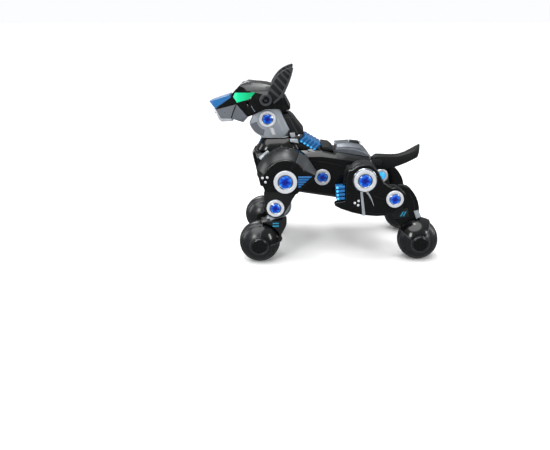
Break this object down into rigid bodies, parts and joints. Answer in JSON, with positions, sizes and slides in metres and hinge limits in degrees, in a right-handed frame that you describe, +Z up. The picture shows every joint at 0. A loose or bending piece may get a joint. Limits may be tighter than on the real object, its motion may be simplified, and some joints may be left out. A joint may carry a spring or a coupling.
{
  "type": "robot dog toy",
  "caption": "Robot dog toy with a faceted head, lit eyes, ribbed neck bellows, jointed legs with round blue-lens pivots, a blade tail and ball-shaped wheels for feet.",
  "frame": {"origin": "centre of the bounding box on the floor that the four ball wheels stand on", "axes": "the dog faces -X, its left side is -Y, +Z is up"},
  "size_m": [0.394, 0.201, 0.329],
  "materials": {
    "gloss_black": "glossy moulded ABS",
    "satin_black": "satin moulded plastic",
    "silver_grey": "silver-grey sprayed plastic",
    "pearl_white": "glossy pearl-white plastic",
    "blue_trim": "blue moulded plastic",
    "blue_lens": "faceted blue lens, lit from behind",
    "eye_green": "translucent lens, lit from behind",
    "ball_black": "polished black plastic",
    "black_tooling_plastic": "plain inner housing",
    "battery_wrap": "shrink wrap",
    "circuit_green": "solder mask",
    "speaker_steel": "stamped steel"
  },
  "bodies": {
    "torso": {"torso_shell_left": "gloss_black", "torso_shell_right": "gloss_black", "chest_plate": "pearl_white", "chest_collar": "gloss_black", "neck_bellows": "blue_trim", "back_cover": "satin_black", "switch_housing": "silver_grey", "battery_door": "satin_black", "battery_pack": "battery_wrap", "circuit_board": "circuit_green", "speaker": "speaker_steel", "gearbox_front": "black_tooling_plastic", "gearbox_rear": "black_tooling_plastic", "waist_pin": "pearl_white", "tail_bracket": "silver_grey"},
    "neck": {"neck_shell": "silver_grey", "neck_spine": "gloss_black", "neck_pin": "pearl_white"},
    "head": {"head_shell": "gloss_black", "muzzle": "silver_grey", "mouth_plate": "pearl_white", "nose_cap": "blue_trim", "eye_left": "eye_green", "eye_right": "eye_green"},
    "ear_left": {"ear_left": "satin_black"},
    "ear_right": {"ear_right": "satin_black"},
    "tail": {"tail": "satin_black"},
    "button": {"power_button": "satin_black"},
    "thigh_front_left": {"thigh_shell_front_left": "gloss_black", "hip_pin_front_left": "pearl_white", "knee_pin_front_left": "pearl_white", "fins_front_left": "blue_trim"},
    "shin_front_left": {"shin_frame_front_left": "silver_grey", "shin_guard_front_left": "gloss_black"},
    "ball_front_left": {"ball_outer_front_left": "ball_black", "ball_inner_front_left": "ball_black"},
    "thigh_front_right": {"thigh_shell_front_right": "gloss_black", "hip_pin_front_right": "pearl_white", "knee_pin_front_right": "pearl_white", "fins_front_right": "blue_trim"},
    "shin_front_right": {"shin_frame_front_right": "silver_grey", "shin_guard_front_right": "gloss_black"},
    "ball_front_right": {"ball_outer_front_right": "ball_black", "ball_inner_front_right": "ball_black"},
    "thigh_rear_left": {"thigh_shell_rear_left": "gloss_black", "hip_pin_rear_left": "pearl_white", "knee_pin_rear_left": "pearl_white", "fins_rear_left": "blue_trim"},
    "shin_rear_left": {"shin_frame_rear_left": "silver_grey", "shin_guard_rear_left": "gloss_black"},
    "ball_rear_left": {"ball_outer_rear_left": "ball_black", "ball_inner_rear_left": "ball_black"},
    "thigh_rear_right": {"thigh_shell_rear_right": "gloss_black", "hip_pin_rear_right": "pearl_white", "knee_pin_rear_right": "pearl_white", "fins_rear_right": "blue_trim"},
    "shin_rear_right": {"shin_frame_rear_right": "silver_grey", "shin_guard_rear_right": "gloss_black"},
    "ball_rear_right": {"ball_outer_rear_right": "ball_black", "ball_inner_rear_right": "ball_black"}
  },
  "joints": [
    {"name": "neck_turn", "type": "hinge", "parent": "torso", "child": "neck", "pos_m": [-0.076, 0, 0.2053], "axis": [0, 0, 1], "range_deg": [-30, 30]},
    {"name": "head_nod", "type": "hinge", "parent": "neck", "child": "head", "pos_m": [-0.096, 0, 0.2395], "axis": [0, 1, 0], "range_deg": [-12, 8]},
    {"name": "ear_left_tilt", "type": "hinge", "parent": "head", "child": "ear_left", "pos_m": [-0.098, -0.036, 0.274], "axis": [0, 1, 0], "range_deg": [-25, 25]},
    {"name": "ear_right_tilt", "type": "hinge", "parent": "head", "child": "ear_right", "pos_m": [-0.098, 0.036, 0.274], "axis": [0, 1, 0], "range_deg": [-25, 25]},
    {"name": "tail_swing", "type": "hinge", "parent": "torso", "child": "tail", "pos_m": [0.101, 0, 0.156], "axis": [0, 1, 0], "range_deg": [-20, 12]},
    {"name": "power_button_press", "type": "slide", "parent": "torso", "child": "button", "axis": [0, 0, -1], "range_m": [0, 0.0015], "stiffness_N_per_m": 400, "springref_m": -0.0005},
    {"name": "shoulder_left", "type": "hinge", "parent": "torso", "child": "thigh_front_left", "pos_m": [-0.066, -0.052, 0.145], "axis": [0, 1, 0], "range_deg": [-25, 60]},
    {"name": "front_knee_left", "type": "hinge", "parent": "thigh_front_left", "child": "shin_front_left", "pos_m": [-0.083, -0.067, 0.0995], "axis": [0, 1, 0], "range_deg": [-15, 20]},
    {"name": "front_ball_left", "type": "hinge", "parent": "shin_front_left", "child": "ball_front_left", "pos_m": [-0.111, -0.071, 0.035], "axis": [0, 1, 0], "continuous": true},
    {"name": "shoulder_right", "type": "hinge", "parent": "torso", "child": "thigh_front_right", "pos_m": [-0.066, 0.052, 0.145], "axis": [0, 1, 0], "range_deg": [-25, 60]},
    {"name": "front_knee_right", "type": "hinge", "parent": "thigh_front_right", "child": "shin_front_right", "pos_m": [-0.083, 0.067, 0.0995], "axis": [0, 1, 0], "range_deg": [-15, 20]},
    {"name": "front_ball_right", "type": "hinge", "parent": "shin_front_right", "child": "ball_front_right", "pos_m": [-0.111, 0.071, 0.035], "axis": [0, 1, 0], "continuous": true},
    {"name": "hip_left", "type": "hinge", "parent": "torso", "child": "thigh_rear_left", "pos_m": [0.066, -0.052, 0.146], "axis": [0, 1, 0], "range_deg": [-12, 75]},
    {"name": "rear_knee_left", "type": "hinge", "parent": "thigh_rear_left", "child": "shin_rear_left", "pos_m": [0.117, -0.067, 0.113], "axis": [0, 1, 0], "range_deg": [-15, 20]},
    {"name": "rear_ball_left", "type": "hinge", "parent": "shin_rear_left", "child": "ball_rear_left", "pos_m": [0.162, -0.071, 0.035], "axis": [0, 1, 0], "continuous": true},
    {"name": "hip_right", "type": "hinge", "parent": "torso", "child": "thigh_rear_right", "pos_m": [0.066, 0.052, 0.146], "axis": [0, 1, 0], "range_deg": [-12, 75]},
    {"name": "rear_knee_right", "type": "hinge", "parent": "thigh_rear_right", "child": "shin_rear_right", "pos_m": [0.117, 0.067, 0.113], "axis": [0, 1, 0], "range_deg": [-15, 20]},
    {"name": "rear_ball_right", "type": "hinge", "parent": "shin_rear_right", "child": "ball_rear_right", "pos_m": [0.162, 0.071, 0.035], "axis": [0, 1, 0], "continuous": true}
  ]
}
